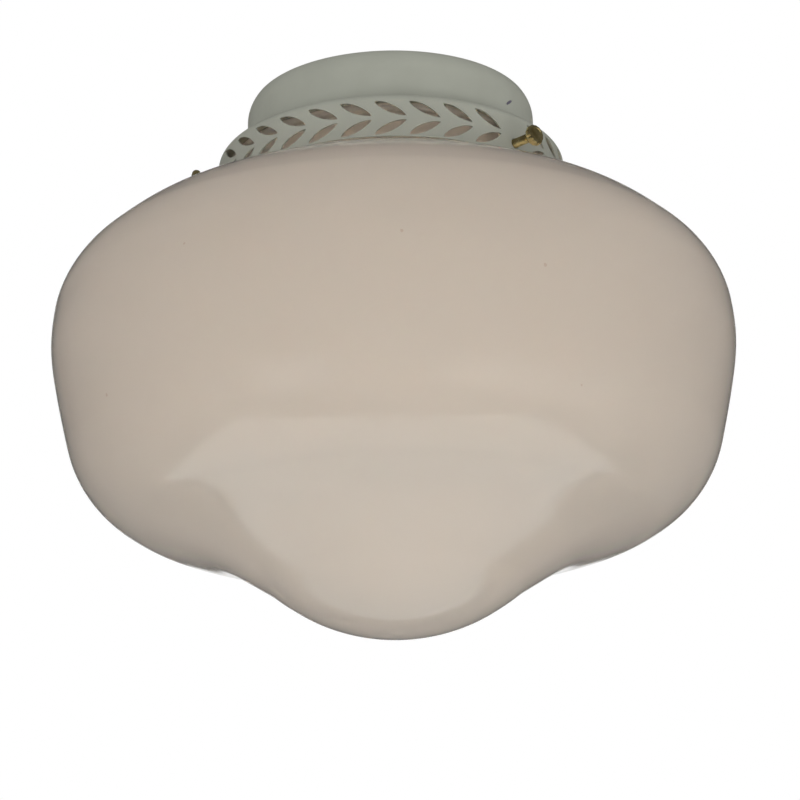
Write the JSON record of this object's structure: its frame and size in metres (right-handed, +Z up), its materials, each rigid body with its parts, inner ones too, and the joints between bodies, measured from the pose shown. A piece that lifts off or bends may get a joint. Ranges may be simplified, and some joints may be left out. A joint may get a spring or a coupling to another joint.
{
  "type": "ceiling fan light kit",
  "caption": "Fan light kit with a mounting collar, pierced fitter pan, lamp sockets and a schoolhouse glass globe held by thumbscrews.",
  "frame": {"origin": "centre of the collar's rim, where the kit meets the fan", "axes": "+Z up to the fan along the kit's axis; -Y towards the pictured front; +X to the picture's right"},
  "size_m": [0.306, 0.306, 0.2596],
  "materials": {
    "off_white_paint": "satin off-white paint, a little green",
    "polished_brass": "bright polished brass",
    "opal_glass": "cased opal glass, glossy outside",
    "zinc_plate": "zinc plated",
    "spring_steel": "plain spring steel",
    "fibre_pad": "pressed glass fibre",
    "porcelain": "glazed white porcelain",
    "aluminium_shell": "rolled sheet",
    "white_nylon": "moulded",
    "connector_plastic": "moulded orange plastic",
    "black_insulation": "extruded wire insulation",
    "white_insulation": "extruded wire insulation",
    "solder": "dull solder",
    "black_glass": "moulded black glass insulator",
    "lamp_cap": "rolled screw cap",
    "frosted_glass": "white frosted inside"
  },
  "bodies": {
    "fixture": {"mounting_collar": "off_white_paint", "fitter_pan": "off_white_paint", "hanger_nipple": "zinc_plate", "lock_washer": "spring_steel", "upper_locknut": "zinc_plate", "lower_locknut": "zinc_plate", "insulation_pad": "fibre_pad", "socket_bracket": "zinc_plate", "lead_bushing": "white_nylon", "wire_connector_black": "connector_plastic", "wire_connector_white": "connector_plastic", "socket_body_left": "porcelain", "screw_shell_left": "aluminium_shell", "centre_contact_left": "polished_brass", "socket_screw_left_inner": "zinc_plate", "socket_screw_left_outer": "zinc_plate", "lead_black_left": "black_insulation", "lead_white_left": "white_insulation", "socket_body_right": "porcelain", "screw_shell_right": "aluminium_shell", "centre_contact_right": "polished_brass", "socket_screw_right_inner": "zinc_plate", "socket_screw_right_outer": "zinc_plate", "lead_black_right": "black_insulation", "lead_white_right": "white_insulation"},
    "globe": {"glass_globe": "opal_glass"},
    "thumbscrew_slide_a": {"thumbscrew_stud_a": "polished_brass"},
    "thumbscrew_turn_a": {"thumbscrew_knob_a": "polished_brass"},
    "thumbscrew_slide_b": {"thumbscrew_stud_b": "polished_brass"},
    "thumbscrew_turn_b": {"thumbscrew_knob_b": "polished_brass"},
    "thumbscrew_slide_c": {"thumbscrew_stud_c": "polished_brass"},
    "thumbscrew_turn_c": {"thumbscrew_knob_c": "polished_brass"},
    "lamp_slide_left": {"lamp_contact_left": "solder"},
    "lamp_turn_left": {"lamp_cap_left": "lamp_cap", "lamp_insulator_left": "black_glass", "lamp_envelope_left": "frosted_glass"},
    "lamp_slide_right": {"lamp_contact_right": "solder"},
    "lamp_turn_right": {"lamp_cap_right": "lamp_cap", "lamp_insulator_right": "black_glass", "lamp_envelope_right": "frosted_glass"}
  },
  "joints": [
    {"name": "globe_drop", "type": "slide", "parent": "fixture", "child": "globe", "axis": [0, 0, -1], "range_m": [0, 0.17]},
    {"name": "thumbscrew_a_travel", "type": "slide", "parent": "fixture", "child": "thumbscrew_slide_a", "axis": [0.6909, -0.723, 0], "range_m": [-0.00277, 0.00238]},
    {"name": "thumbscrew_a_turn", "type": "hinge", "parent": "thumbscrew_slide_a", "child": "thumbscrew_turn_a", "pos_m": [0, 0, -0.0431], "axis": [0.6909, -0.723, 0], "range_deg": [-1260, 1080]},
    {"name": "thumbscrew_b_travel", "type": "slide", "parent": "fixture", "child": "thumbscrew_slide_b", "axis": [0.2807, 0.9598, 0], "range_m": [-0.00277, 0.00238]},
    {"name": "thumbscrew_b_turn", "type": "hinge", "parent": "thumbscrew_slide_b", "child": "thumbscrew_turn_b", "pos_m": [0, 0, -0.0431], "axis": [0.2807, 0.9598, 0], "range_deg": [-1260, 1080]},
    {"name": "thumbscrew_c_travel", "type": "slide", "parent": "fixture", "child": "thumbscrew_slide_c", "axis": [-0.9715, -0.2368, 0], "range_m": [-0.00277, 0.00238]},
    {"name": "thumbscrew_c_turn", "type": "hinge", "parent": "thumbscrew_slide_c", "child": "thumbscrew_turn_c", "pos_m": [0, 0, -0.0431], "axis": [-0.9715, -0.2368, 0], "range_deg": [-1260, 1080]},
    {"name": "lamp_left_travel", "type": "slide", "parent": "fixture", "child": "lamp_slide_left", "axis": [-0.2079, 0, -0.9781], "range_m": [0, 0.01814]},
    {"name": "lamp_left_turn", "type": "hinge", "parent": "lamp_slide_left", "child": "lamp_turn_left", "pos_m": [-0.0225, 0, -0.0419], "axis": [-0.2079, 0, -0.9781], "range_deg": [0, 1800]},
    {"name": "lamp_right_travel", "type": "slide", "parent": "fixture", "child": "lamp_slide_right", "axis": [0.2079, 0, -0.9781], "range_m": [0, 0.01814]},
    {"name": "lamp_right_turn", "type": "hinge", "parent": "lamp_slide_right", "child": "lamp_turn_right", "pos_m": [0.0225, 0, -0.0419], "axis": [0.2079, 0, -0.9781], "range_deg": [0, 1800]}
  ],
  "couplings": [
    {"joint": "thumbscrew_a_turn", "follows": "thumbscrew_a_travel", "rad_per_m": 7915.8},
    {"joint": "thumbscrew_b_turn", "follows": "thumbscrew_b_travel", "rad_per_m": 7915.8},
    {"joint": "thumbscrew_c_turn", "follows": "thumbscrew_c_travel", "rad_per_m": 7915.8},
    {"joint": "lamp_left_turn", "follows": "lamp_left_travel", "rad_per_m": 1730.9},
    {"joint": "lamp_right_turn", "follows": "lamp_right_travel", "rad_per_m": 1730.9}
  ]
}
